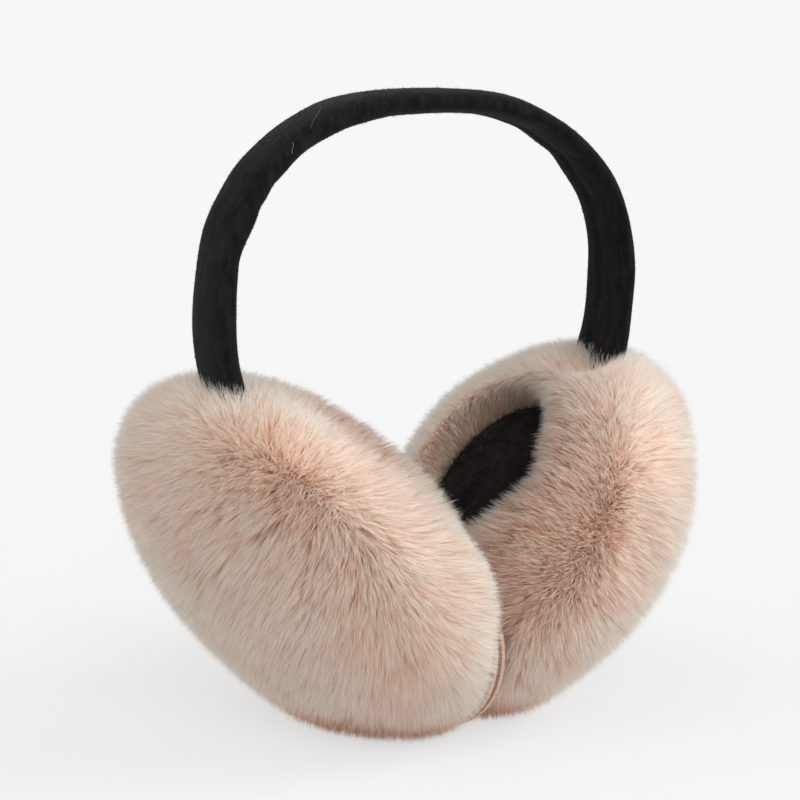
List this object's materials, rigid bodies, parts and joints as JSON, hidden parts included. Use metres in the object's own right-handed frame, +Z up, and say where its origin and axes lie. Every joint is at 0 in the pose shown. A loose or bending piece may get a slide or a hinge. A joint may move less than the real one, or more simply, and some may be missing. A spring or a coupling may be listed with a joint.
{
  "type": "fur earmuffs",
  "caption": "Fur earmuffs: deep-pile oval ear cups with recessed plush ear pads on a padded velvet headband, standing on the cups.",
  "frame": {"origin": "on the floor under the middle of the earmuffs as they stand on their cups", "axes": "+X from the left cup to the right cup across the mirror plane, -Y to the front, +Z up through the headband's crown"},
  "size_m": [0.191, 0.1378, 0.1967],
  "materials": {
    "velvet": "black short-pile velvet",
    "fur": "long soft pile, cream tips over pinkish beige",
    "plush": "black plush",
    "welt_cloth": "folded knitted backing cloth"
  },
  "bodies": {
    "root": {"headband": "velvet", "right_fur": "fur", "left_fur": "fur", "right_ear_pad": "plush", "left_ear_pad": "plush", "right_welt": "welt_cloth", "left_welt": "welt_cloth"}
  },
  "joints": []
}
